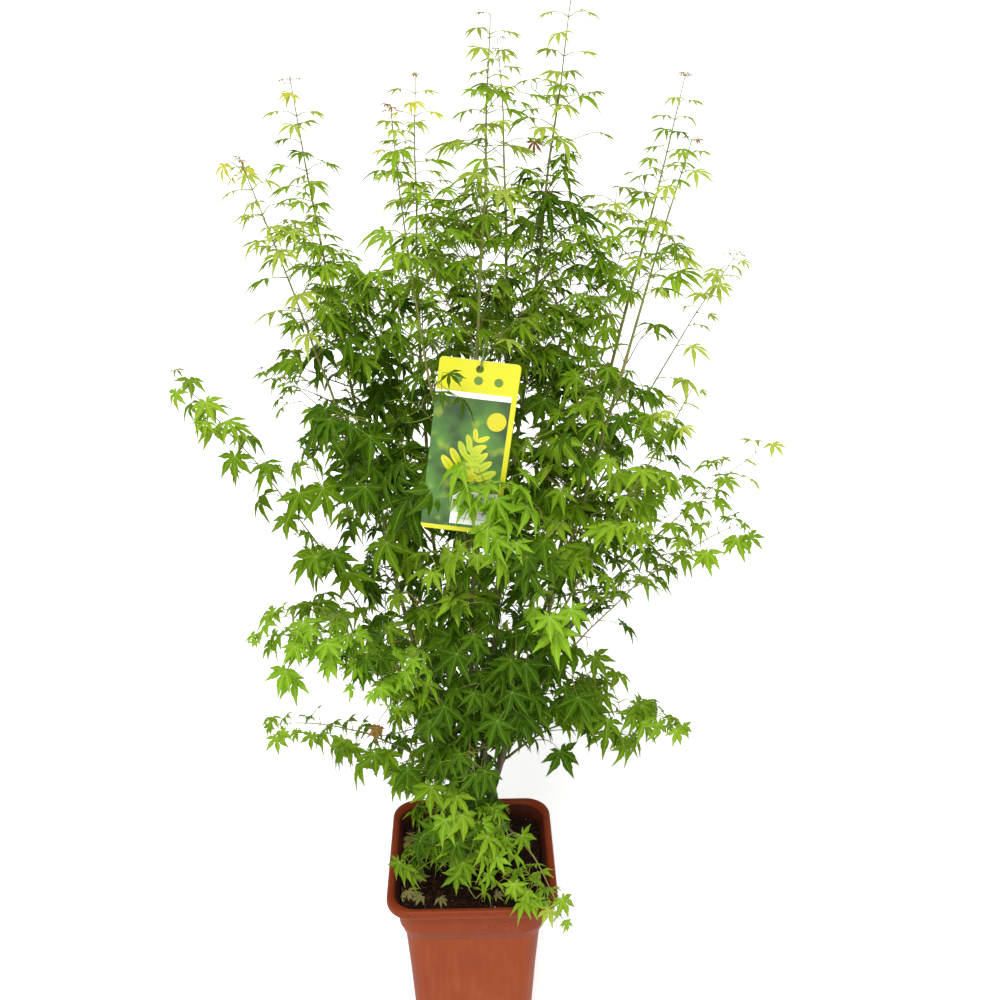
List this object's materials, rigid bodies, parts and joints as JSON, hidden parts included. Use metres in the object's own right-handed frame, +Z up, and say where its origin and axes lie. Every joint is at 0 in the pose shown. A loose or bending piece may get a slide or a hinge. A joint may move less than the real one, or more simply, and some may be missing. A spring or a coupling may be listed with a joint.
{
  "type": "potted japanese maple",
  "caption": "Young green-leaved Japanese maple with many upright stems in a square tapering nursery pot, with a hanging picture label.",
  "frame": {"origin": "centre of the flat underside of the pot, which stands on the ground", "axes": "+Z up along the plant's height; +Y from the side with the hanging label to the back; +X to the right of someone who faces the label"},
  "size_m": [0.615, 0.4359, 1.201],
  "materials": {
    "pot_plastic": "satin",
    "soil": "matte",
    "bark": "matte",
    "foliage": "satin",
    "fresh_foliage": "satin",
    "label_card": "satin",
    "tie_cord": "satin"
  },
  "bodies": {
    "root": {"pot": "pot_plastic", "soil": "soil", "trunk": "bark", "stem_back_left": "bark", "stem_back_right": "bark", "stem_centre": "bark", "stem_front": "bark", "stem_front_right": "bark", "stem_left": "bark", "stem_right": "bark", "bough_front_foot": "bark", "bough_front_top": "bark", "bough_left_arch": "bark", "bough_left_back": "bark", "bough_left_foot": "bark", "bough_left_front": "bark", "bough_left_top": "bark", "bough_right_back": "bark", "bough_right_foot": "bark", "bough_right_front": "bark", "bough_right_low": "bark", "bough_right_middle": "bark", "bough_right_top": "bark", "bough_rim": "bark", "foliage_back_left_middle": "foliage", "foliage_back_left_shoot": "foliage", "foliage_back_left_upper": "foliage", "foliage_back_right_middle": "foliage", "foliage_back_right_shoot": "foliage", "foliage_back_right_upper": "foliage", "foliage_centre_shoot": "foliage", "foliage_centre_upper": "foliage", "foliage_front_foot_shoot": "fresh_foliage", "foliage_front_low": "foliage", "foliage_front_middle": "foliage", "foliage_front_right_middle": "foliage", "foliage_front_right_shoot": "foliage", "foliage_front_right_upper": "foliage", "foliage_front_shoot": "foliage", "foliage_front_top_shoot": "foliage", "foliage_front_upper": "foliage", "foliage_left_arch_shoot": "foliage", "foliage_left_back_shoot": "foliage", "foliage_left_foot_shoot": "foliage", "foliage_left_front_shoot": "fresh_foliage", "foliage_left_middle": "foliage", "foliage_left_shoot": "foliage", "foliage_left_top_shoot": "foliage", "foliage_left_upper": "foliage", "foliage_right_back_shoot": "foliage", "foliage_right_foot_shoot": "foliage", "foliage_right_front_shoot": "foliage", "foliage_right_low_shoot": "foliage", "foliage_right_middle_shoot": "foliage", "foliage_right_shoot": "foliage", "foliage_right_top_shoot": "foliage", "foliage_right_upper": "foliage", "foliage_rim_shoot": "fresh_foliage", "label": "label_card", "label_tie": "tie_cord"}
  },
  "joints": []
}
